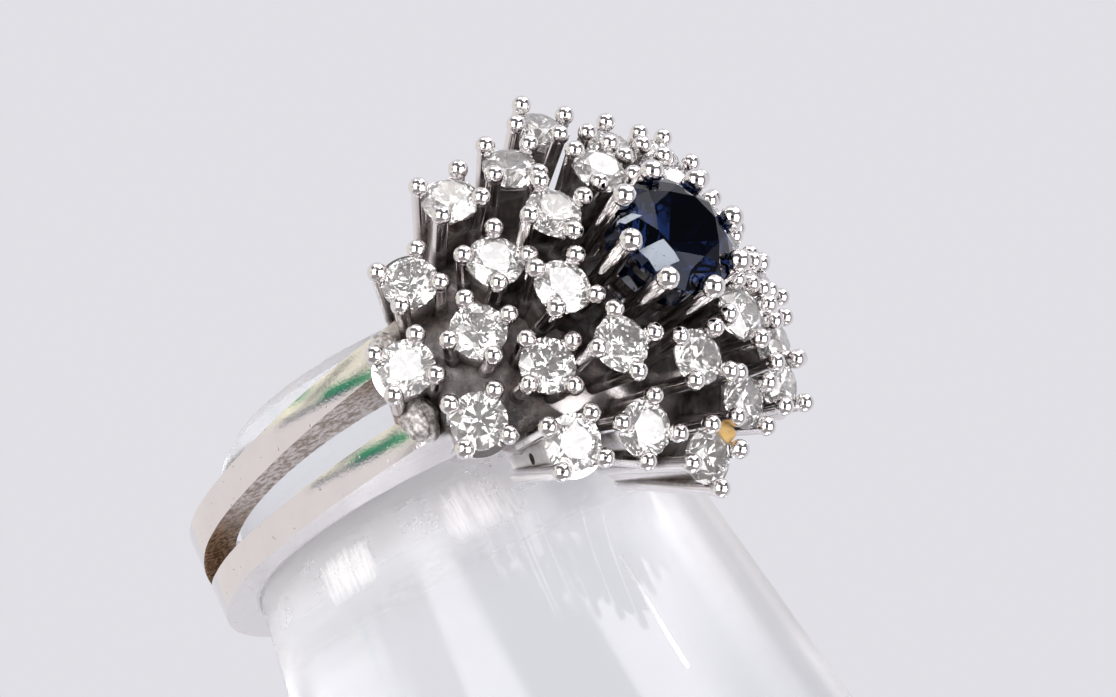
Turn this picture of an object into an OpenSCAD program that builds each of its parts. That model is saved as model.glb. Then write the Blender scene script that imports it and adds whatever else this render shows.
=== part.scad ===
// A sapphire and diamond cluster ring held on a clear display cone.
// Millimetres, +Z up. The cone stands on its flat base at the origin, its axis is the
// Z axis, and the stones of the ring face -Y.

/* [Finger hole and shank] */
// Diameter of the finger hole
finger_d = 17.5; // [17:0.25:18.5]
// Thickness of the shank at its back
shank_t = 1.4; // [1.2:0.05:1.5]
// Width of the shank at its back
back_w = 3.5; // [3:0.05:3.6]
// Width over both shoulders beside the finger
middle_w = 3.7; // [3.5:0.05:3.9]
// Width over both shoulders where they meet the head
shoulder_w = 4.6; // [4.4:0.05:5]
// Width of the slot between the two shoulders, beside the finger
slot_w = 1.25; // [1.1:0.05:1.4]
// Width of the slot's round end, under the head
slot_end_w = 2; // [1.7:0.1:2.2]
// How far the shank sits off the middle of the head, towards the cone's narrow end
shank_shift = 0.27; // [0:0.03:0.3]

/* [Head] */
// Height of the sapphire's claw tips above the middle of the finger hole
head_h = 19.5; // [19:0.1:20.5]
// Height of the shoulders' flat top under the head
bridge_h = 11; // [10.8:0.1:11.2]
// Thickness of the domed gallery that carries the stone settings
gallery_t = 1; // [0.8:0.1:1.2]

/* [Sapphire] */
// Diameter of the sapphire
sapphire_d = 4.7; // [4.4:0.1:4.8]
// Number of claws round the sapphire
sapphire_claws = 8; // [6:1:8]
// Diameter of the sapphire's claws
sapphire_claw_d = 0.8; // [0.7:0.02:0.84]

/* [Diamonds] */
// Diameter of each diamond
diamond_d = 2.1; // [1.9:0.05:2.15]
// Diameter of the claw wires of a diamond setting
claw_d = 0.58; // [0.5:0.02:0.62]
// Diameter of the round bead on each claw's tip
claw_tip_d = 0.74; // [0.66:0.02:0.78]

/* [Display cone] */
// Height of the middle of the head above the cone's base
ring_z = 62; // [58:1:70]
// Half angle of the cone's taper, in degrees
cone_taper = 8; // [6:0.5:10]
// How far the cone's flat top stands past the middle of the shank
cone_past = 4; // [3.5:0.1:8]

/* [Hidden] */
// Each row is one setting and its mirror copies in the head's own frame: X runs along the
// head, Y along the finger and Z out of the sapphire, from its claw tips.
// Columns: x, y, z, outward tilt, angle of the first claw, length of the body below, distance
// of the claws' feet from the body's axis, how far the feet lean outward, and 1 where the wall
// between the first claw and the next is closed.
SETTINGS = [
    [3.83, 0,    -2.78, 13,  45, 3.0, 0.65, 0,    0],
    [2.88, 2.73, -2.48, 13,  45, 3.2, 0.65, 0,    0],
    [0,    3.96, -2.43, 13,  45, 3.2, 0.65, 0,    0],
    [4.81, 2.17, -4.32, 20,   0, 3.0, 0.7,  0,    0],
    [2.41, 5.5,  -4.02, 24,   0, 4.0, 0.75, 0,    0],
    [6.33, 0,    -5.05, 26,   0, 3.0, 0.75, 0,    0],
    [5.05, 5.05, -4.7,  30,   0, 5.0, 0.7,  0.55, 1],
    [0,    7.01, -4.41, 29, -90, 5.2, 0.7,  0.4,  1],
    [7.23, 2.85, -6.17, 33,  20, 3.9, 0.8,  0.2,  1],
    [8.53, 0,    -6.85, 37, -45, 3.3, 0.88, 0.4,  1],
];
finger_r = finger_d / 2;
shank_r = finger_r + shank_t;
diamond_r = diamond_d / 2;
sapphire_r = sapphire_d / 2;
// The clear space cut round a stone
seat_gap = 0.05;
// The shoulders' outer faces are large arcs that leave the shank's circle at this angle
shoulder_angle = 5;
shoulder_arc = 12.5;
// How far the shank drifts sideways for each millimetre of its height
shank_drift = 0.02;
// Proportions of a brilliant cut, as parts of the girdle's radius
table_part = 0.58;
crown_part = 0.32;
girdle_part = 0.04;
pavilion_part = 0.86;
star_part = 0.5;
lower_part = 0.24;
// The sapphire's girdle below its claw tips
sapphire_drop = 0.5;
// The setting whose wall has a small round hole left by the casting, as its place in SPOTS,
// the hole's size and its middle in that setting's own frame
holed_spot = 21;
hole_d = 0.45;
hole_at = [0.82, -0.36, -2.75];
// Curved faces are drawn with this many sides
$fn = 48;

function mirror_signs(v) = v == 0 ? [1] : [1, -1];
// Every setting with its mirror copies, as rows of the same columns; the last one turns into
// the angle at which the closed wall starts
SPOTS = [for (s = SETTINGS) for (sx = mirror_signs(s[0])) for (sy = mirror_signs(s[1]))
    [sx * s[0], sy * s[1], s[2], s[3], sx * sy * s[4], s[5], s[6], s[7],
        s[8] == 0 ? undef : sx * sy > 0 ? s[4] : -s[4] - 90]];
function stone_name(i) = str("diamond_", i < 9 ? "0" : "", i + 1);

// Moves from the head's frame to the stand's: the finger's axis becomes upright
module in_place() {
    translate([0, -head_h, ring_z])
        rotate([90, 0, 0])
            children();
}

// Moves to a setting's own frame: Z is the stone's axis and the girdle lies at zero
module at_spot(s) {
    translate([s[0], s[1], s[2]])
        rotate([0, s[3], atan2(s[1], s[0])])
            children();
}

function ring_point(r, angle, z) = [r * cos(angle), r * sin(angle), z];

// A round wire from one point to another
module wire(a, b, d) {
    v = b - a;
    translate(a)
        rotate([0, acos(v[2] / norm(v)), atan2(v[1], v[0])])
            cylinder(h = norm(v), d = d, $fn = 24);
}

// A brilliant cut stone with a table, 32 crown facets and 24 pavilion facets
module brilliant(r) {
    table_r = table_part * r;
    crown_h = crown_part * r;
    rim = girdle_part * r;
    pavilion_h = pavilion_part * r;
    mid = 22.5;
    table_mid = table_r * cos(mid);
    star_r = table_mid + star_part * (r - table_mid);
    star_z = crown_h * (r - star_r * cos(mid)) / (r - table_r);
    low_r = lower_part * r;
    low_z = -pavilion_h * (1 - low_r * cos(mid) / r);
    points = concat(
        [for (k = [0 : 7]) ring_point(table_r, 45 * k, rim + crown_h)],
        [for (k = [0 : 7]) ring_point(star_r, 45 * k + mid, rim + star_z)],
        [for (k = [0 : 15]) ring_point(r, mid * k, rim)],
        [for (k = [0 : 15]) ring_point(r, mid * k, -rim)],
        [for (k = [0 : 7]) ring_point(low_r, 45 * k + mid, -rim + low_z)],
        [[0, 0, -rim - pavilion_h]]
    );
    star = 8;
    top = 16;
    bottom = 32;
    low = 48;
    culet = 56;
    faces = concat(
        [[for (k = [7 : -1 : 0]) k]],
        [for (k = [0 : 7]) [k, (k + 1) % 8, star + k]],
        [for (k = [0 : 7]) [k, star + k, top + 2 * k, star + (k + 7) % 8]],
        [for (k = [0 : 7]) [star + k, top + 2 * k + 1, top + 2 * k]],
        [for (k = [0 : 7]) [star + k, top + (2 * k + 2) % 16, top + 2 * k + 1]],
        [for (k = [0 : 15]) [top + k, top + (k + 1) % 16, bottom + (k + 1) % 16, bottom + k]],
        [for (k = [0 : 7]) [low + k, bottom + 2 * k, bottom + 2 * k + 1]],
        [for (k = [0 : 7]) [low + k, bottom + 2 * k + 1, bottom + (2 * k + 2) % 16]],
        [for (k = [0 : 7]) [culet, low + (k + 7) % 8, bottom + 2 * k, low + k]]
    );
    polyhedron(points, faces);
}

// The room that a stone takes up, cut from the claws and cup that hold it
module stone_room(r) {
    low = -(girdle_part + pavilion_part) * r - 2 * seat_gap;
    rim = girdle_part * r + seat_gap;
    high = (girdle_part + crown_part) * r + seat_gap;
    rotate_extrude()
        polygon([
            [0, low],
            [r + seat_gap, -rim],
            [r + seat_gap, rim],
            [table_part * r + seat_gap, high],
            [0, high],
        ]);
}

// The square body under a stone, between the claws; its foot leans outward with theirs
module setting_body(s) {
    rise = s[5] - 0.5;
    translate([s[7], 0, -s[5]])
        rotate([0, -atan2(s[7], rise), 0])
            rotate([0, 0, s[4]])
                cylinder(h = norm([s[7], rise]), r = s[6] + 0.2, $fn = 4);
}

// A quarter of a cup that closes the wall between two claws of a setting on the head's edge
module closed_wall(s) {
    intersection() {
        rotate_extrude($fn = 48)
            polygon([[0.5, -0.25], [1.3, -0.25], [1.3, -0.65], [0.95, -2.3], [0.5, -2.3]]);
        rotate([0, 0, s[8]])
            translate([0, 0, -3])
                cube([2, 2, 3]);
    }
}

// The four claws and the body of one diamond's setting, with the stone's seat cut
module diamond_setting(s) {
    tip_r = diamond_r + 0.12;
    tip_z = 0.42;
    difference() {
        union() {
            for (k = [0 : 3]) {
                angle = s[4] + 90 * k;
                tip = ring_point(tip_r, angle, tip_z);
                wire(ring_point(s[6], angle, -s[5]) + [s[7], 0, 0], tip, claw_d);
                translate(tip)
                    sphere(d = claw_tip_d, $fn = 24);
            }
            setting_body(s);
            if (s[8] != undef) closed_wall(s);
        }
        stone_room(diamond_r);
    }
}

// A blind hole into the setting's wall between its outer claw and the one before
module casting_hole() {
    translate(hole_at)
        rotate([0, 90, -45])
            translate([0, 0, -0.45])
                cylinder(h = 1, d = hole_d, $fn = 24);
}

// The tall basket of the sapphire: its claws and two rings
module sapphire_basket() {
    tip_r = sapphire_r + 0.06;
    foot_r = 1.75;
    foot_z = -5.5;
    difference() {
        union() {
            for (k = [0 : sapphire_claws - 1]) {
                angle = 360 / sapphire_claws * k;
                tip = ring_point(tip_r, angle, 0);
                wire(ring_point(foot_r, angle, foot_z), tip, sapphire_claw_d);
                translate(tip)
                    sphere(d = sapphire_claw_d + 0.08, $fn = 24);
            }
            for (ring = [[-2.3, 2.1, 1.4], [-4, 1.95, 1.3]])
                translate([0, 0, ring[0]])
                    rotate_extrude($fn = 48)
                        translate([ring[2], 0])
                            square([ring[1] - ring[2], 0.45]);
        }
        translate([0, 0, -sapphire_drop])
            stone_room(sapphire_r);
    }
}

// The domed plate under the settings, hollow from below and cut to a long lens shape
module gallery() {
    lens_r = 7.96;
    lens_y = 2.66;
    floor_z = -8.8;
    intersection() {
        rotate_extrude($fn = 96)
            difference() {
                polygon([[0, -5], [3, -5], [5, -6.2], [7.6, -8.2], [7.6, floor_z], [0, floor_z]]);
                translate([0, -gallery_t])
                    polygon([[0, -5], [2.7, -5], [4.5, -6.1], [6.2, -7.4], [6.2, floor_z], [0, floor_z]]);
            }
        translate([0, lens_y, floor_z - 1])
            cylinder(h = 8, r = lens_r, $fn = 96);
        translate([0, -lens_y, floor_z - 1])
            cylinder(h = 8, r = lens_r, $fn = 96);
    }
}

// The shank seen along the finger, with the finger's middle at zero
module shank_profile() {
    arc_r = shank_r + shoulder_arc;
    arc_x = shoulder_arc * cos(shoulder_angle);
    arc_z = -shoulder_arc * sin(shoulder_angle);
    difference() {
        union() {
            circle(r = shank_r, $fn = 128);
            intersection() {
                translate([-arc_x, arc_z])
                    circle(r = arc_r, $fn = 256);
                translate([arc_x, arc_z])
                    circle(r = arc_r, $fn = 256);
                translate([-shank_r, 0])
                    square([2 * shank_r, bridge_h]);
            }
        }
        circle(r = finger_r, $fn = 128);
    }
}

// A point of the shank's side view, moved by the shank's drift at its height
function drifted(y, z) = [y + shank_drift * (z - bridge_h), z];

// The shank seen from beside the finger: it widens upwards, and a slot splits it in two
module shank_side() {
    low = -shank_r - 1;
    slot_low = -6.6;
    slot_high = bridge_h - 0.25 - slot_end_w / 2;
    difference() {
        polygon([
            drifted(-back_w / 2, low),
            drifted(back_w / 2, low),
            drifted(middle_w / 2, 0),
            drifted(shoulder_w / 2, bridge_h),
            drifted(-shoulder_w / 2, bridge_h),
            drifted(-middle_w / 2, 0),
        ]);
        polygon([
            drifted(0, slot_low),
            drifted(0.24 * slot_w, slot_low + 1.6),
            drifted(0.42 * slot_w, slot_low + 4),
            drifted(slot_w / 2, 0),
            drifted(slot_end_w / 2, slot_high),
            drifted(-slot_end_w / 2, slot_high),
            drifted(-slot_w / 2, 0),
            drifted(-0.42 * slot_w, slot_low + 4),
            drifted(-0.24 * slot_w, slot_low + 1.6),
        ]);
        translate(drifted(0, slot_high))
            circle(d = slot_end_w);
    }
}

module shank() {
    reach = 30;
    translate([0, shank_shift, -head_h])
        intersection() {
            rotate([90, 0, 0])
                linear_extrude(height = 2 * shoulder_w, center = true)
                    shank_profile();
            rotate([90, 0, 90])
                linear_extrude(height = reach, center = true)
                    shank_side();
        }
}

// A lump of solder at each corner that joins the end settings to a shoulder
module joining_lumps() {
    for (sx = [1, -1])
        for (sy = [1, -1])
            wire([sx * 7.7, sy * 0.7, -8.65], [sx * 7.45, sy * 1.65, -8.9], 1.15);
}

// All of the white gold, soldered into one piece
module ring() {
    color("silver")
        in_place() {
            shank();
            gallery();
            joining_lumps();
            sapphire_basket();
            for (i = [0 : len(SPOTS) - 1])
                at_spot(SPOTS[i])
                    difference() {
                        diamond_setting(SPOTS[i]);
                        if (i == holed_spot) casting_hole();
                    }
        }
}

module sapphire() {
    color("midnightblue")
        in_place()
            translate([0, 0, -sapphire_drop])
                brilliant(sapphire_r);
}

module diamond(s) {
    color("white")
        in_place()
            at_spot(s)
                brilliant(diamond_r);
}

// The solid clear cone, with a small chamfer round its base and its top
module stand() {
    snug = 0.05;
    chamfer = 0.6;
    touch_z = ring_z + shank_shift - shoulder_w / 2;
    touch_r = finger_r - snug;
    top_z = ring_z + shank_shift + cone_past;
    slope = tan(cone_taper);
    base_r = touch_r + touch_z * slope;
    top_r = touch_r - (top_z - touch_z) * slope;
    color("lightblue", 0.4)
        rotate_extrude($fn = 128)
            polygon([
                [0, 0],
                [base_r - chamfer, 0],
                [base_r - chamfer * slope, chamfer],
                [top_r + chamfer * slope, top_z - chamfer],
                [top_r - chamfer, top_z],
                [0, top_z],
            ]);
}

stand();
ring();
sapphire();
for (i = [0 : len(SPOTS) - 1])
    diamond(SPOTS[i]);
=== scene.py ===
"""Looks for the sapphire ring on its clear cone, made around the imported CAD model."""

import math

import bpy
from mathutils import Matrix, Vector, noise


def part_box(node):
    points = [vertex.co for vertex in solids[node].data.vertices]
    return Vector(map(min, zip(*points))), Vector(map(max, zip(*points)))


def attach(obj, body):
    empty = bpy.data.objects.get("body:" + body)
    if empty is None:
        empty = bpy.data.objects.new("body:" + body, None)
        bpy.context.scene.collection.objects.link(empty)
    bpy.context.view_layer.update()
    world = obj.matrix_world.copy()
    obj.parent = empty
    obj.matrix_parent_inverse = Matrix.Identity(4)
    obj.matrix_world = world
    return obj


def colour(red, green, blue):
    """A colour with full alpha"""
    return (red, green, blue, 1.0)


MM = 0.001

# The photograph's frame and the camera that took it, found from the stones' places
PHOTO_WIDE = 1116
SENSOR = 36.0
PIXELS_PER_MM = 28.2
CAMERA_AWAY = 104.4
VIEW_TURN = 39.6
VIEW_RISE = 16.05
VIEW_ROLL = -27.06
HEAD_OFF_CENTRE = (4.404, 4.255)
# The nearest and the farthest that the camera sees, in metres
CLIP = (0.005, 20.0)

# The sapphire's claw tips lie this far in front of the middle of its box
TIPS_IN_FRONT = 1.135
# The shank's middle lies this far along the finger from the head's middle
SHANK_SHIFT = 0.2
# The finger hole's radius, and how far past it the satin wall ends and is whole
HOLE_R = 8.75
HOLE_EDGE = (0.15, 0.05)
# The middle of each shoulder's width from the slot's middle
BAND_MIDDLE = 1.4
# How much the shoulders' outer faces lean for each millimetre off the middle of their width
BAND_CROWN = 0.146
# The direction along the finger
FINGER_WAY = (0.0, 0.0, 1.0)

# Where a look fades in. Each pair holds the place where it starts and the place where it is
# whole. These are millimetres out of the head: the shoulders' top and foot, the head's foot, the
# slot's top, and the slot's brown ends by the head and at the back
SHOULDER_TOP = (-9.2, -9.6)
SHOULDER_FOOT = (-26.0, -22.0)
HEAD_FOOT = (-9.6, -8.8)
SLOT_TOP = (-8.6, -9.0)
SLOT_HEAD_END = (-12.5, -10.0)
SLOT_BACK_END = (-18.0, -21.5)
# Millimetres from the slot's middle, from the sapphire's axis, and below the dome of stones for the
# dirt and painted shade
SLOT_HALF = (1.3, 1.15)
BASKET_R = (3.0, 2.5)
DIRT_AND_SHADE_DEPTH = (0.6, 1.6)
# How much a face looks along the finger, for the shoulders' outer faces and for the slot's walls
OUTER_FACING = (0.3, 0.1)
WALL_FACING = (0.25, 0.6)
# The dome of stones: its top, and how it falls for each millimetre along the head and the finger
DOME_TOP = 0.4
DOME_FALL = (0.86, 0.65)
# How far a recess is felt for in millimetres, how open a recess is where the dirt and painted
# shade start and where they are whole, and the rays that feel for it
RECESS_REACH = 1.6
RECESS_OPEN = (0.85, 0.45)
RECESS_SAMPLES = 6

# White gold, clean and spoiled
GOLD_WARM = colour(0.78, 0.745, 0.74)
GOLD_PALE = colour(0.86, 0.835, 0.83)
GOLD_SATIN = colour(0.86, 0.85, 0.85)
PIT_BROWN = colour(0.30, 0.26, 0.24)
DULL_DARK = colour(0.36, 0.27, 0.21)
DULL_PALE = colour(0.88, 0.83, 0.81)
RUST_DARK = colour(0.10, 0.045, 0.015)
RUST_PALE = colour(0.62, 0.43, 0.28)
# Brown dirt deep in the recesses, darkened further there as painted shade
SOIL_AND_SHADE_DARK = colour(0.030, 0.020, 0.015)
SOIL_AND_SHADE_PALE = colour(0.15, 0.113, 0.09)
# The metallic share of the dull places, and what they add to the roughness
MATT_METALLIC = 0.35
MATT_ROUGHNESS = 0.35
POLISH_ROUGHNESS = (0.03, 0.08)
# The height of the fine grain as a share, and the strength and depth in millimetres of the relief
FINE_SHARE = 0.25
GOLD_RELIEF = (0.4, 0.03)

# Plain noise. Columns: scale, detail and roughness
TONE = (0.9, 3.0, 0.5)
FINE = (9.0, 4.0, 0.6)
GRITTY = (7.0, 5.0, 0.75)
SOLDER_GRAIN = (5.0, 5.0, 0.7)
AMBER_GRAIN = (4.0, 3.0, 0.5)
CONE_WAVES = (0.12, 1.0, 0.5)
PAPER_GRAIN = (0.02, 3.0, 0.5)
# Patterns from noise. Columns: scale, detail, roughness, and the values between which it fades in
DIRT_AND_SHADE_PATCHES = (1.7, 3.0, 0.5, 0.3, 0.65)
PITS = (5.0, 2.0, 0.5, 0.70, 0.76)
RUST = (6.0, 5.0, 0.7, 0.40, 0.62)
SPECKS = (3.5, 5.0, 0.75, 0.42, 0.56)
SOIL_AND_SHADE = (3.0, 5.0, 0.65, 0.38, 0.66)
POLISH = (2.2, 4.0, 0.5, 0.35, 0.75)
HAZE = (1.6, 3.0, 0.5, 0.35, 0.65)
SAPPHIRE_CLOUD = (2.5, 3.0, 0.5, 0.35, 0.7)
REFLECTION_SPECKS = (9.0, 3.0, 0.5, 0.6, 0.7)
HIGHLIGHT_STREAKS = (0.6, 4.0, 0.6, 0.3, 0.65)
CONE_SCUFFS = (0.35, 5.0, 0.7, 0.45, 0.8)
# The least and the most of a pattern where that isn't nothing and one
DIRT_AND_SHADE_RANGE = (0.85, 1.0)
HIGHLIGHT_STREAK_RANGE = (0.5, 1.0)

# The diamonds, where they are clear and where they are hazy
DIAMOND_TINTS = (colour(0.96, 0.955, 0.935), colour(0.90, 0.90, 0.885))
DIAMOND_CLARITY = (0.88, 0.78)
DIAMOND_IOR = 2.3
DIAMOND_ROUGHNESS = 0.02

# The sapphire and its two painted reflections, pale patches where its crown facets catch the light.
# Columns of a patch: middle along the head and along the finger, half size the same way, and skew
SAPPHIRE_BLUES = (colour(0.0025, 0.006, 0.024), colour(0.0015, 0.004, 0.016))
REFLECTION_BLUES = (colour(0.42, 0.47, 0.53), colour(0.20, 0.24, 0.30))
REFLECTION_FACET = (-1.55, -0.80, 0.40, 0.45, 0.35)
REFLECTION_SPOT = (-1.88, 0.90, 0.26, 0.14, 0.6)
REFLECTION_EDGE = 0.02
REFLECTION_ROUGHNESS = 0.25
SAPPHIRE_SHINE = colour(0.16, 0.18, 0.24)
SAPPHIRE_IOR = 1.77

# The cone's rubbed band: middle height, half height and edge, in millimetres
RUBBED_BAND = (58.6, 1.5, 1.2)
# How far the rubbed band and the painted highlights veil the cone, and how rough the band makes it
RUBBED_VEIL = 0.3
HIGHLIGHT_VEIL = 0.95
RUBBED_ROUGHNESS = 0.2
SCUFF_ROUGHNESS = (0.07, 0.16)
# Painted highlights, reflections and shade on the cone. Columns: degrees round it, half of its
# width in degrees, height, half height, and edge
# Bright patches and a thin glint, painted white as highlights and reflections
PAINTED_HIGHLIGHTS = [
    (-121, 9, 58.0, 1.0, 0.6),
    (-158, 8, 58.2, 0.8, 0.5),
    (-97, 0.5, 51.5, 2.5, 0.1),
]
# Darker patches, painted grey as shade inside the clear cone
PAINTED_SHADE_PATCHES = [
    (-99, 6, 57.0, 0.9, 0.6),
    (-66, 5, 50.0, 8.0, 0.6),
]
# A painted patch's edge in degrees for each millimetre of its edge in height
PAINTED_EDGE_DEGREES = 5
# The streaks in the painted highlights run round the cone: their height counts this much beside
# their degrees
HIGHLIGHT_STREAK_SQUASH = 0.8
CONE_CLEAR = colour(0.98, 0.985, 1.0)
CONE_SHADED = colour(0.72, 0.735, 0.76)
WHITE = colour(1.0, 1.0, 1.0)
CONE_IOR = 1.49
CONE_RELIEF = (0.1, 0.2)

# A lump of rough solder: its middle along the head, along the finger and out of the head, and its
# half size along the head, out of it and along the finger
LUMP_AT = (7.6, 1.15, -8.75)
LUMP_SIZE = (0.72, 0.72, 1.05)
SOLDER_EDGES = (0.35, 0.65)
SOLDER_TINTS = (colour(0.30, 0.27, 0.25), colour(0.88, 0.86, 0.84))
SOLDER_METALLIC = 0.85
SOLDER_ROUGHNESS = 0.28
SOLDER_RELIEF = (0.8, 0.08)
# The crumb of amber residue on one stone's rim: along the head, out of it and along the finger
# from the stone's middle, and its half size the same way
RESIDUE_STONE = "diamond_24"
RESIDUE_OFF = (0.85, 0.32, 0.57)
RESIDUE_SIZE = (0.60, 0.30, 0.42)
RESIDUE_TINTS = (colour(0.90, 0.50, 0.09), colour(0.85, 0.66, 0.34))
RESIDUE_ROUGHNESS = 0.4
# How often a lump's ball is divided, and how it swells. Columns: share of its size, and bumps
# over its radius
LUMP_DIVISIONS = 5
LUMP_SWELLS = [
    (0.16, 1.7),
    (0.06, 6),
]

# Each row is one panel of the studio tent, seen from the ring. Later rows lie over earlier ones.
# Columns: degrees right of the camera, degrees up, degrees it leans, half width, half height,
# edge, and light
PANELS = [
    (-100, 0, 0, 1.10, 0.75, 0.15, (0.83, 0.79, 0.785)),
    (46, -8, 0, 0.45, 0.52, 0.04, (4.5, 4.4, 4.45)),
    (-31, 6, 0, 0.31, 0.54, 0.04, (4.5, 4.4, 4.45)),
    (82, 62, 0, 0.60, 0.26, 0.04, (4.2, 4.1, 4.15)),
    (-20, 84, 0, 0.50, 0.20, 0.04, (2.6, 2.5, 2.4)),
    (-70, 11, 0, 0.37, 0.24, 0.02, (0.92, 0.89, 0.76)),
    (-79, 7, -30, 0.04, 0.14, 0.01, (1.20, 1.16, 0.90)),
    (-84, 5, 0, 0.11, 0.04, 0.02, (0.16, 0.44, 0.28)),
    (-63, 1, 0, 0.15, 0.04, 0.015, (0.03, 0.30, 0.15)),
    (-72, -2, 4, 0.20, 0.016, 0.008, (0.05, 0.07, 0.13)),
    (-72, 6, -35, 0.016, 0.12, 0.008, (0.07, 0.08, 0.10)),
    (-60, 7, -35, 0.012, 0.10, 0.008, (0.10, 0.10, 0.09)),
    (86, 42, 0, 0.30, 0.16, 0.10, (0.10, 0.10, 0.13)),
]
# A panel shows only ahead of its own middle, and fades in over this share of its direction
PANEL_AHEAD = (0.02, 0.1)
# The tent's backdrop, and its pale cloth below and above
BACKDROP = colour(0.75, 0.745, 0.79)
CLOTH_LOW = colour(0.34, 0.315, 0.315)
CLOTH_HIGH = colour(0.17, 0.165, 0.17)
# Where the backdrop turns into the cloth, as a share of the way towards the camera
CLOTH_START = (-0.4, 0.2)
# The dark gap round the camera, in degrees off its axis
GAP_EDGES = (16, 12)
GAP_DARK = colour(0.03, 0.03, 0.05)

# The floor's size in metres, and its pale paper
FLOOR_SIZE = 4.0
PAPER_TINTS = (colour(0.80, 0.795, 0.83), colour(0.82, 0.815, 0.85))
PAPER_ROUGHNESS = 0.9

# Light paths long enough for the cut stones, and the most that a bounced ray may add
BOUNCES = 20
GLOSSY_BOUNCES = 8
CLAMP = 8.0


def new_material(name):
    """An empty node material, with its nodes and its principled shader"""
    material = bpy.data.materials.new(name)
    material.use_nodes = True
    tree = material.node_tree
    return material, Nodes(tree), tree.nodes["Principled BSDF"]


class Nodes:
    """Short ways to add and join nodes in one tree"""

    def __init__(self, tree):
        self.tree = tree

    def add(self, kind, **values):
        node = self.tree.nodes.new(kind)
        for name, value in values.items():
            setattr(node, name, value)
        return node

    def join(self, source, socket):
        self.tree.links.new(source, socket)

    def feed(self, socket, value):
        """A socket takes either another node's output or a plain value"""
        if isinstance(value, bpy.types.NodeSocket):
            self.join(value, socket)
        else:
            socket.default_value = value

    def math(self, operation, a, b=0.0, clamp=False):
        node = self.add("ShaderNodeMath", operation=operation, use_clamp=clamp)
        self.feed(node.inputs[0], a)
        self.feed(node.inputs[1], b)
        return node.outputs[0]

    def vector(self, operation, a, b=None):
        node = self.add("ShaderNodeVectorMath", operation=operation)
        self.feed(node.inputs[0], a)
        if b is not None:
            self.feed(node.inputs[1], b)
        return node.outputs[0]

    def dot(self, a, b):
        node = self.add("ShaderNodeVectorMath", operation="DOT_PRODUCT")
        self.feed(node.inputs[0], a)
        self.feed(node.inputs[1], b)
        return node.outputs["Value"]

    def split(self, vector):
        """The three numbers of a vector"""
        node = self.add("ShaderNodeSeparateXYZ")
        self.join(vector, node.inputs[0])
        return node.outputs["X"], node.outputs["Y"], node.outputs["Z"]

    def step(self, value, low, high, start=0.0, end=1.0):
        """A smooth change from start to end as the value goes from low to high"""
        node = self.add("ShaderNodeMapRange", interpolation_type="SMOOTHSTEP")
        self.feed(node.inputs["Value"], value)
        node.inputs["From Min"].default_value = low
        node.inputs["From Max"].default_value = high
        node.inputs["To Min"].default_value = start
        node.inputs["To Max"].default_value = end
        return node.outputs["Result"]

    def near(self, value, middle, half, soft):
        """One where the value lies within half of the middle"""
        off = self.math("ABSOLUTE", self.math("SUBTRACT", value, middle))
        return self.step(off, half + soft, half - soft)

    def spread(self, a, b):
        """The length of the two numbers taken as a flat arrow"""
        square = self.math("ADD", self.math("POWER", a, 2.0), self.math("POWER", b, 2.0))
        return self.math("SQRT", square)

    def blend(self, amount, a, b):
        """Mixes two colours"""
        node = self.add("ShaderNodeMix", data_type="RGBA")
        self.feed(node.inputs["Factor"], amount)
        self.feed(node.inputs["A"], a)
        self.feed(node.inputs["B"], b)
        return node.outputs["Result"]

    def noise(self, place, scale, detail, roughness):
        node = self.add("ShaderNodeTexNoise")
        self.join(place, node.inputs["Vector"])
        node.inputs["Scale"].default_value = scale
        node.inputs["Detail"].default_value = detail
        node.inputs["Roughness"].default_value = roughness
        return node.outputs["Fac"]

    def pattern(self, place, scale, detail, roughness, low, high, start=0.0, end=1.0):
        """Noise that changes smoothly from start to end as its value goes from low to high"""
        return self.step(self.noise(place, scale, detail, roughness), low, high, start, end)

    def bump(self, height, strength, distance, normal=None):
        """The surface's direction over a relief whose depth is given in millimetres"""
        node = self.add("ShaderNodeBump")
        self.join(height, node.inputs["Height"])
        if normal:
            self.join(normal, node.inputs["Normal"])
        node.inputs["Strength"].default_value = strength
        node.inputs["Distance"].default_value = distance * MM
        return node.outputs["Normal"]

    def millimetres(self):
        """The place on the part in millimetres"""
        place = self.add("ShaderNodeTexCoord")
        scaled = self.add("ShaderNodeVectorMath", operation="SCALE")
        self.join(place.outputs["Object"], scaled.inputs[0])
        scaled.inputs["Scale"].default_value = 1 / MM
        return scaled.outputs[0]


def head_place(nodes, head):
    """A point's place, and how far it lies along the head, along the finger and out of the head"""
    place = nodes.millimetres()
    along, backward, finger = nodes.split(nodes.vector("SUBTRACT", place, head / MM))
    return place, along, finger, nodes.math("MULTIPLY", backward, -1.0)


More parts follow.
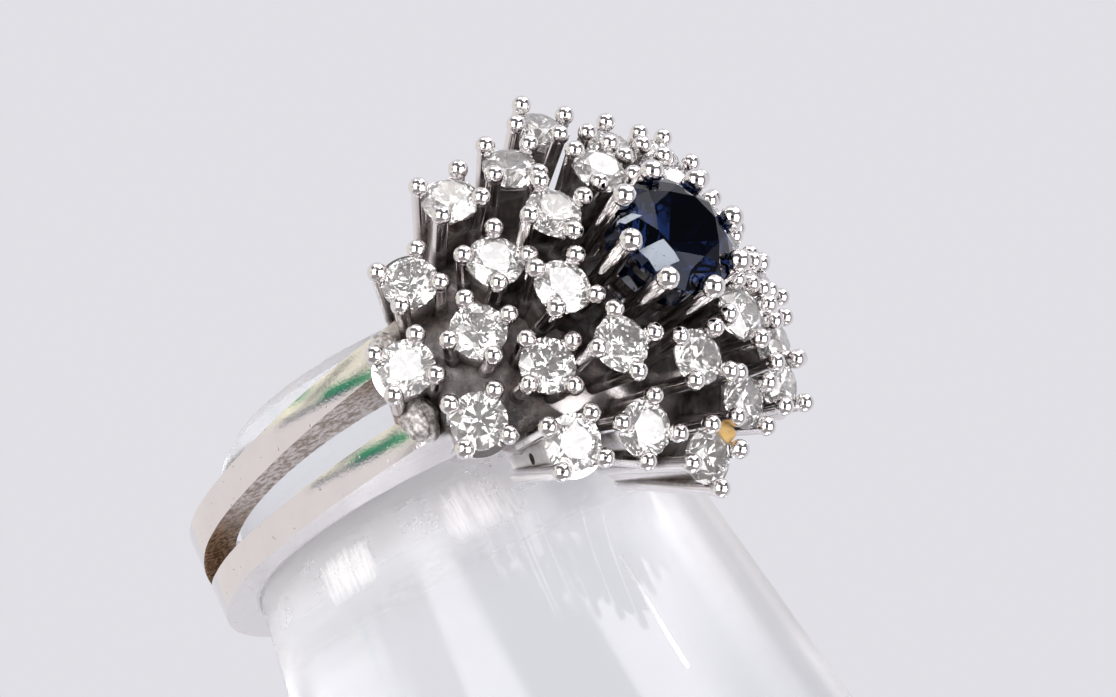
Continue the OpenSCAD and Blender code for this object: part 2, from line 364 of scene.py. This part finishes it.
def white_gold(head):
    """Polished white gold, with brown tarnish in the slot, and brown dirt with painted shade deep
    between the settings
    """
    material, nodes, shader = new_material("white_gold")
    place, along, finger, out = head_place(nodes, head)
    # Dirt with painted shade, darkest in the closed recesses between the settings and broken into
    # patches
    patches = nodes.pattern(place, *DIRT_AND_SHADE_PATCHES, *DIRT_AND_SHADE_RANGE)
    dirt_and_shade = nodes.math("MULTIPLY", recess_dirt_and_shade(nodes, along, finger, out), patches)
    tarnish, brown = slot_tarnish(nodes, finger, out)
    inside = hole_wall(nodes, place)
    pits = nodes.pattern(place, *PITS)
    clean = nodes.blend(nodes.noise(place, *TONE), GOLD_WARM, GOLD_PALE)
    satin = nodes.blend(inside, clean, GOLD_SATIN)
    pitted = nodes.blend(pits, satin, PIT_BROWN)
    dull = nodes.blend(nodes.pattern(place, *SPECKS), DULL_DARK, DULL_PALE)
    rust = nodes.blend(nodes.pattern(place, *RUST), RUST_DARK, RUST_PALE)
    soil_and_shade = nodes.blend(nodes.pattern(place, *SOIL_AND_SHADE), SOIL_AND_SHADE_DARK, SOIL_AND_SHADE_PALE)
    tarnished = nodes.blend(tarnish, pitted, nodes.blend(brown, dull, rust))
    nodes.join(nodes.blend(dirt_and_shade, tarnished, soil_and_shade), shader.inputs["Base Color"])
    spoiled_and_shaded = nodes.math("MAXIMUM", dirt_and_shade, tarnish)
    matt = nodes.math("MAXIMUM", spoiled_and_shaded, inside)
    nodes.join(nodes.step(matt, 0.0, 1.0, 1.0, MATT_METALLIC), shader.inputs["Metallic"])
    polish = nodes.pattern(place, *POLISH, *POLISH_ROUGHNESS)
    roughness = nodes.math("ADD", polish, nodes.math("MULTIPLY", matt, MATT_ROUGHNESS))
    nodes.join(roughness, shader.inputs["Roughness"])
    fine = nodes.math("MULTIPLY", nodes.noise(place, *FINE), FINE_SHARE)
    gritty = nodes.math("MULTIPLY", nodes.noise(place, *GRITTY), nodes.math("ADD", spoiled_and_shaded, pits))
    height = nodes.math("ADD", fine, gritty)
    relief = nodes.bump(height, *GOLD_RELIEF, crowned_normal(nodes, finger, out))
    nodes.join(relief, shader.inputs["Normal"])
    return material


def hole_wall(nodes, place):
    """One on the satin wall of the finger hole"""
    x, y = nodes.split(place)[:2]
    return nodes.step(nodes.spread(x, y), *[HOLE_R + past for past in HOLE_EDGE])


def crowned_normal(nodes, finger, out):
    """The surface's direction, with the shoulders' outer faces slightly rounded over their width"""
    normal = nodes.add("ShaderNodeNewGeometry").outputs["Normal"]
    off = nodes.math("SUBTRACT", finger, SHANK_SHIFT)
    middle = nodes.math("MULTIPLY", nodes.math("SIGN", off), BAND_MIDDLE)
    sideways = nodes.math("ABSOLUTE", nodes.dot(normal, FINGER_WAY))
    outer_face = nodes.step(sideways, *OUTER_FACING)
    shoulder = nodes.math("MULTIPLY", nodes.step(out, *SHOULDER_TOP),
                          nodes.step(out, *SHOULDER_FOOT))
    amount = nodes.math("MULTIPLY", nodes.math("MULTIPLY", outer_face, shoulder), BAND_CROWN)
    lean = nodes.add("ShaderNodeCombineXYZ")
    off_middle = nodes.math("SUBTRACT", off, middle)
    nodes.join(nodes.math("MULTIPLY", off_middle, amount), lean.inputs["Z"])
    return nodes.vector("NORMALIZE", nodes.vector("ADD", normal, lean.outputs[0]))


def recess_dirt_and_shade(nodes, along, finger, out):
    """Dirt and painted shade: one in the closed places below the domed face of stones, nothing on
    the open metal
    """
    along_fall, finger_fall = DOME_FALL
    fall = nodes.spread(nodes.math("MULTIPLY", along, along_fall),
                        nodes.math("MULTIPLY", finger, finger_fall))
    depth = nodes.math("SUBTRACT", nodes.math("SUBTRACT", DOME_TOP, fall), out)
    shade = nodes.add("ShaderNodeAmbientOcclusion", samples=RECESS_SAMPLES)
    shade.inputs["Distance"].default_value = RECESS_REACH * MM
    closed = nodes.step(shade.outputs["AO"], *RECESS_OPEN)
    at_basket = nodes.step(nodes.spread(along, finger), *BASKET_R)
    deep = nodes.step(nodes.math("SUBTRACT", depth, at_basket), *DIRT_AND_SHADE_DEPTH)
    on_head = nodes.step(out, *HEAD_FOOT)
    return nodes.math("MULTIPLY", nodes.math("MULTIPLY", closed, deep), on_head)


def slot_tarnish(nodes, finger, out):
    """One on the slot's side walls, and how brown they are, which is most at the slot's two ends"""
    normal = nodes.add("ShaderNodeNewGeometry").outputs["Normal"]
    sideways = nodes.math("ABSOLUTE", nodes.dot(normal, FINGER_WAY))
    off = nodes.math("ABSOLUTE", nodes.math("SUBTRACT", finger, SHANK_SHIFT))
    walls = nodes.math("MULTIPLY", nodes.step(sideways, *WALL_FACING), nodes.step(off, *SLOT_HALF))
    tarnish = nodes.math("MULTIPLY", walls, nodes.step(out, *SLOT_TOP))
    head_end = nodes.step(out, *SLOT_HEAD_END)
    back_end = nodes.step(out, *SLOT_BACK_END)
    return tarnish, nodes.math("ADD", head_end, back_end, clamp=True)


def cut_diamond():
    """A worn diamond: clear, with a soft haze over its facets"""
    material, nodes, shader = new_material("diamond_clear")
    haze = nodes.pattern(nodes.millimetres(), *HAZE)
    nodes.join(nodes.blend(haze, *DIAMOND_TINTS), shader.inputs["Base Color"])
    clarity = nodes.step(haze, 0.0, 1.0, *DIAMOND_CLARITY)
    nodes.join(clarity, shader.inputs["Transmission Weight"])
    shader.inputs["IOR"].default_value = DIAMOND_IOR
    shader.inputs["Roughness"].default_value = DIAMOND_ROUGHNESS
    return material


def cut_sapphire(head):
    """A very dark blue stone with two painted reflections: pale patches where facets catch the
    light
    """
    material, nodes, shader = new_material("sapphire_blue")
    place, along, finger = head_place(nodes, head)[:3]
    blue = nodes.blend(nodes.pattern(place, *SAPPHIRE_CLOUD), *SAPPHIRE_BLUES)
    # Two pale patches painted on the crown as the reflections of facets catching the light
    painted_reflection = nodes.math("MAXIMUM", facet_reflection(nodes, along, finger, *REFLECTION_FACET),
                      facet_reflection(nodes, along, finger, *REFLECTION_SPOT))
    speckled_reflection = nodes.blend(nodes.pattern(place, *REFLECTION_SPECKS), *REFLECTION_BLUES)
    nodes.join(nodes.blend(painted_reflection, blue, speckled_reflection), shader.inputs["Base Color"])
    nodes.join(nodes.step(painted_reflection, 0.0, 1.0, 1.0, 0.0), shader.inputs["Transmission Weight"])
    nodes.join(nodes.math("MULTIPLY", painted_reflection, REFLECTION_ROUGHNESS), shader.inputs["Roughness"])
    shader.inputs["IOR"].default_value = SAPPHIRE_IOR
    shader.inputs["Specular Tint"].default_value = SAPPHIRE_SHINE
    return material


def facet_reflection(nodes, along, finger, middle_x, middle_y, half_x, half_y, skew):
    """A painted reflection: one within a skewed patch of the stone's crown, placed along the head
    and along the finger
    """
    off = nodes.math("SUBTRACT", finger, middle_y)
    leant = nodes.math("ADD", along, nodes.math("MULTIPLY", off, skew))
    return nodes.math("MULTIPLY", nodes.near(leant, middle_x, half_x, REFLECTION_EDGE),
                      nodes.near(finger, middle_y, half_y, REFLECTION_EDGE))


def acrylic():
    """Clear plastic, rubbed dull where rings are pushed on, with painted highlights and painted
    shade on it
    """
    material, nodes, shader = new_material("clear_acrylic")
    place = nodes.millimetres()
    x, y, height = nodes.split(place)
    turn = nodes.math("DEGREES", nodes.math("ARCTAN2", y, x))
    squashed = nodes.add("ShaderNodeCombineXYZ")
    nodes.join(turn, squashed.inputs["X"])
    nodes.join(nodes.math("MULTIPLY", height, HIGHLIGHT_STREAK_SQUASH), squashed.inputs["Y"])
    highlight_streaks = nodes.pattern(squashed.outputs[0], *HIGHLIGHT_STREAKS, *HIGHLIGHT_STREAK_RANGE)
    rubbed = nodes.near(height, *RUBBED_BAND)
    # Painted highlights veil the cone white in streaks, and painted shade tints it grey
    painted_highlight = nodes.math("MULTIPLY", cone_painted_light(nodes, turn, height, PAINTED_HIGHLIGHTS), highlight_streaks)
    painted_shade = cone_painted_light(nodes, turn, height, PAINTED_SHADE_PATCHES)
    veil = nodes.math("MAXIMUM", nodes.math("MULTIPLY", rubbed, RUBBED_VEIL),
                      nodes.math("MULTIPLY", painted_highlight, HIGHLIGHT_VEIL))
    nodes.join(nodes.math("SUBTRACT", 1.0, veil), shader.inputs["Transmission Weight"])
    scuffs = nodes.pattern(place, *CONE_SCUFFS, *SCUFF_ROUGHNESS)
    roughness = nodes.math("ADD", scuffs, nodes.math("MULTIPLY", rubbed, RUBBED_ROUGHNESS))
    nodes.join(roughness, shader.inputs["Roughness"])
    waves = nodes.bump(nodes.noise(place, *CONE_WAVES), *CONE_RELIEF)
    nodes.join(waves, shader.inputs["Normal"])
    shaded = nodes.blend(painted_shade, CONE_CLEAR, CONE_SHADED)
    nodes.join(nodes.blend(painted_highlight, shaded, WHITE), shader.inputs["Base Color"])
    shader.inputs["IOR"].default_value = CONE_IOR
    return material


def cone_painted_light(nodes, turn, height, marks):
    """One within any of the soft-edged patches of painted highlight and painted shade on the cone
    """
    shown = None
    for middle_turn, half_turn, middle_height, half_height, soft in marks:
        across = nodes.near(turn, middle_turn, half_turn, PAINTED_EDGE_DEGREES * soft)
        mark = nodes.math("MULTIPLY", across, nodes.near(height, middle_height, half_height, soft))
        shown = nodes.math("MAXIMUM", shown, mark) if shown else mark
    return shown


def grit():
    """Rough old solder"""
    material, nodes, shader = new_material("rough_solder")
    grain = nodes.noise(nodes.millimetres(), *SOLDER_GRAIN)
    tint = nodes.blend(nodes.step(grain, *SOLDER_EDGES), *SOLDER_TINTS)
    nodes.join(tint, shader.inputs["Base Color"])
    shader.inputs["Metallic"].default_value = SOLDER_METALLIC
    shader.inputs["Roughness"].default_value = SOLDER_ROUGHNESS
    nodes.join(nodes.bump(grain, *SOLDER_RELIEF), shader.inputs["Normal"])
    return material


def matt_material(name, grain, tints, roughness):
    """A plain matt material that varies softly between two tints"""
    material, nodes, shader = new_material(name)
    tint = nodes.blend(nodes.noise(nodes.millimetres(), *grain), *tints)
    nodes.join(tint, shader.inputs["Base Color"])
    shader.inputs["Roughness"].default_value = roughness
    return material


def blob(name, middle, half_size, material):
    """A small uneven rounded lump riding on the part, its half size given in millimetres"""
    bpy.ops.mesh.primitive_ico_sphere_add(subdivisions=LUMP_DIVISIONS, radius=1.0)
    piece = bpy.context.object
    piece.name = name
    for vertex in piece.data.vertices:
        way = vertex.co.copy()
        swell = 1
        for share, bumps in LUMP_SWELLS:
            swell += share * noise.noise(way * bumps + middle / MM)
        vertex.co = middle + Vector([w * s * swell * MM for w, s in zip(way, half_size)])
    piece.data.polygons.foreach_set("use_smooth", [True] * len(piece.data.polygons))
    piece.data.materials.append(material)
    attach(piece, "root")


def make_lumps(head, material):
    """The uneven skin of the four solder lumps between the shoulders and the end settings"""
    along, finger, out = LUMP_AT
    for number, (sx, sy) in enumerate([(-1, -1), (-1, 1), (1, -1), (1, 1)], 1):
        middle = head + Vector((sx * along, -out, sy * finger)) * MM
        blob(f"solder_lump_{number}", middle, LUMP_SIZE, material)


def make_residue(material):
    """The crumb of amber residue that lies on the rim of one stone"""
    low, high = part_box(RESIDUE_STONE)
    along, out, finger = RESIDUE_OFF
    middle = (low + high) / 2 + Vector((along, -out, finger)) * MM
    blob("residue", middle, RESIDUE_SIZE, material)


def dress(piece, material):
    """Gives a CAD node its finish"""
    piece.data.materials.clear()
    piece.data.materials.append(material)


def camera_axes():
    """The directions of the photograph's right, up and back, seen from the camera"""
    turn = Matrix.Rotation(math.radians(-VIEW_TURN), 3, "Z")
    rise = Matrix.Rotation(math.radians(90 + VIEW_RISE), 3, "X")
    roll = Matrix.Rotation(math.radians(VIEW_ROLL), 3, "Z")
    turned = turn @ rise @ roll
    return turned.col[0].copy(), turned.col[1].copy(), turned.col[2].copy()


def make_camera(head, right, up, back):
    """The camera at the photograph's angle, with its depth of field off"""
    data = bpy.data.cameras.new("camera")
    data.sensor_width = SENSOR
    data.lens = SENSOR * PIXELS_PER_MM * CAMERA_AWAY / PHOTO_WIDE
    data.clip_start, data.clip_end = CLIP
    off_right, off_up = HEAD_OFF_CENTRE
    place = head + (back * CAMERA_AWAY - right * off_right - up * off_up) * MM
    axes = Matrix((right, up, back)).transposed().to_4x4()
    camera = bpy.data.objects.new("camera", data)
    camera.matrix_world = Matrix.Translation(place) @ axes
    bpy.context.scene.collection.objects.link(camera)
    bpy.context.scene.camera = camera


def panel(nodes, way, facing, level, lean, wide, high, soft):
    """Where a studio panel shows: an even rectangle round one direction, with soft edges"""
    side = Matrix.Rotation(math.radians(lean), 3, facing) @ level
    top = facing.cross(side)
    ahead = nodes.math("MAXIMUM", nodes.dot(way, facing), PANEL_AHEAD[0])
    across = nodes.math("ABSOLUTE", nodes.math("DIVIDE", nodes.dot(way, side), ahead))
    along = nodes.math("ABSOLUTE", nodes.math("DIVIDE", nodes.dot(way, top), ahead))
    within = nodes.math("MULTIPLY", nodes.step(across, wide + soft, wide - soft),
                        nodes.step(along, high + soft, high - soft))
    return nodes.math("MULTIPLY", within, nodes.step(nodes.dot(way, facing), *PANEL_AHEAD))


def make_studio(right, up, back):
    """A soft light tent: pale all round, with brighter panels and a dark gap round the camera"""
    world = bpy.data.worlds.new("studio")
    bpy.context.scene.world = world
    world.use_nodes = True
    world.node_tree.nodes.clear()
    nodes = Nodes(world.node_tree)
    way = nodes.add("ShaderNodeTexCoord").outputs["Generated"]
    cloth = nodes.blend(nodes.step(nodes.dot(way, up), -1.0, 1.0), CLOTH_LOW, CLOTH_HIGH)
    in_front = nodes.step(nodes.dot(way, back), *CLOTH_START)
    light = nodes.blend(in_front, BACKDROP, cloth)
    for turn, rise, lean, wide, high, edge, tone in PANELS:
        turned = math.radians(turn)
        raised = math.radians(rise)
        level = back * math.cos(turned) + right * math.sin(turned)
        facing = (level * math.cos(raised) + up * math.sin(raised)).normalized()
        side = right * math.cos(turned) - back * math.sin(turned)
        shown = panel(nodes, way, facing, side, lean, wide, high, edge)
        light = nodes.blend(shown, light, colour(*tone))
    gap_edges = [math.cos(math.radians(edge)) for edge in GAP_EDGES]
    gap = nodes.step(nodes.dot(way, back), *gap_edges)
    light = nodes.blend(gap, light, GAP_DARK)
    tent = nodes.add("ShaderNodeBackground")
    nodes.join(light, tent.inputs["Color"])
    plain = nodes.add("ShaderNodeBackground")
    plain.inputs["Color"].default_value = BACKDROP
    path = nodes.add("ShaderNodeLightPath")
    mix = nodes.add("ShaderNodeMixShader")
    nodes.join(path.outputs["Is Camera Ray"], mix.inputs[0])
    nodes.join(tent.outputs[0], mix.inputs[1])
    nodes.join(plain.outputs[0], mix.inputs[2])
    output = nodes.add("ShaderNodeOutputWorld")
    nodes.join(mix.outputs[0], output.inputs["Surface"])


def make_floor(material):
    """A wide pale floor, left out of reflections so that metal and stones show the light tent"""
    bpy.ops.mesh.primitive_plane_add(size=FLOOR_SIZE)
    floor = bpy.context.object
    floor.name = "floor"
    floor.data.materials.append(material)
    floor.visible_glossy = False
    floor.visible_transmission = False


def set_quality():
    """Light paths, denoising and colours"""
    scene = bpy.context.scene
    scene.cycles.max_bounces = BOUNCES
    scene.cycles.transmission_bounces = BOUNCES
    scene.cycles.glossy_bounces = GLOSSY_BOUNCES
    scene.cycles.sample_clamp_indirect = CLAMP
    scene.cycles.use_denoising = True
    scene.view_settings.view_transform = "Standard"


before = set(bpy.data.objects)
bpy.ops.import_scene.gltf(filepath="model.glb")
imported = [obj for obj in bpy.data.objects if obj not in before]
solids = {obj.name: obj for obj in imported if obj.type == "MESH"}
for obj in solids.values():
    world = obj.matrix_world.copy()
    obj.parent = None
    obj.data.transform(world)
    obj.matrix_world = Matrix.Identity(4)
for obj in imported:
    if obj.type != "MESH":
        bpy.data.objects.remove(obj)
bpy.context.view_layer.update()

low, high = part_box("sapphire")
head = (low + high) / 2 + Vector((0, -TIPS_IN_FRONT * MM, 0))
right, up, back = camera_axes()
make_camera(head, right, up, back)
make_studio(right, up, back)
make_floor(matt_material("floor_paper", PAPER_GRAIN, PAPER_TINTS, PAPER_ROUGHNESS))
set_quality()

dress(solids["ring"], white_gold(head))
make_lumps(head, grit())
make_residue(matt_material("amber_residue", AMBER_GRAIN, RESIDUE_TINTS, RESIDUE_ROUGHNESS))
dress(solids["sapphire"], cut_sapphire(head))
dress(solids["stand"], acrylic())
diamond_clear = cut_diamond()
for name, solid in solids.items():
    if name.startswith("diamond"):
        dress(solid, diamond_clear)
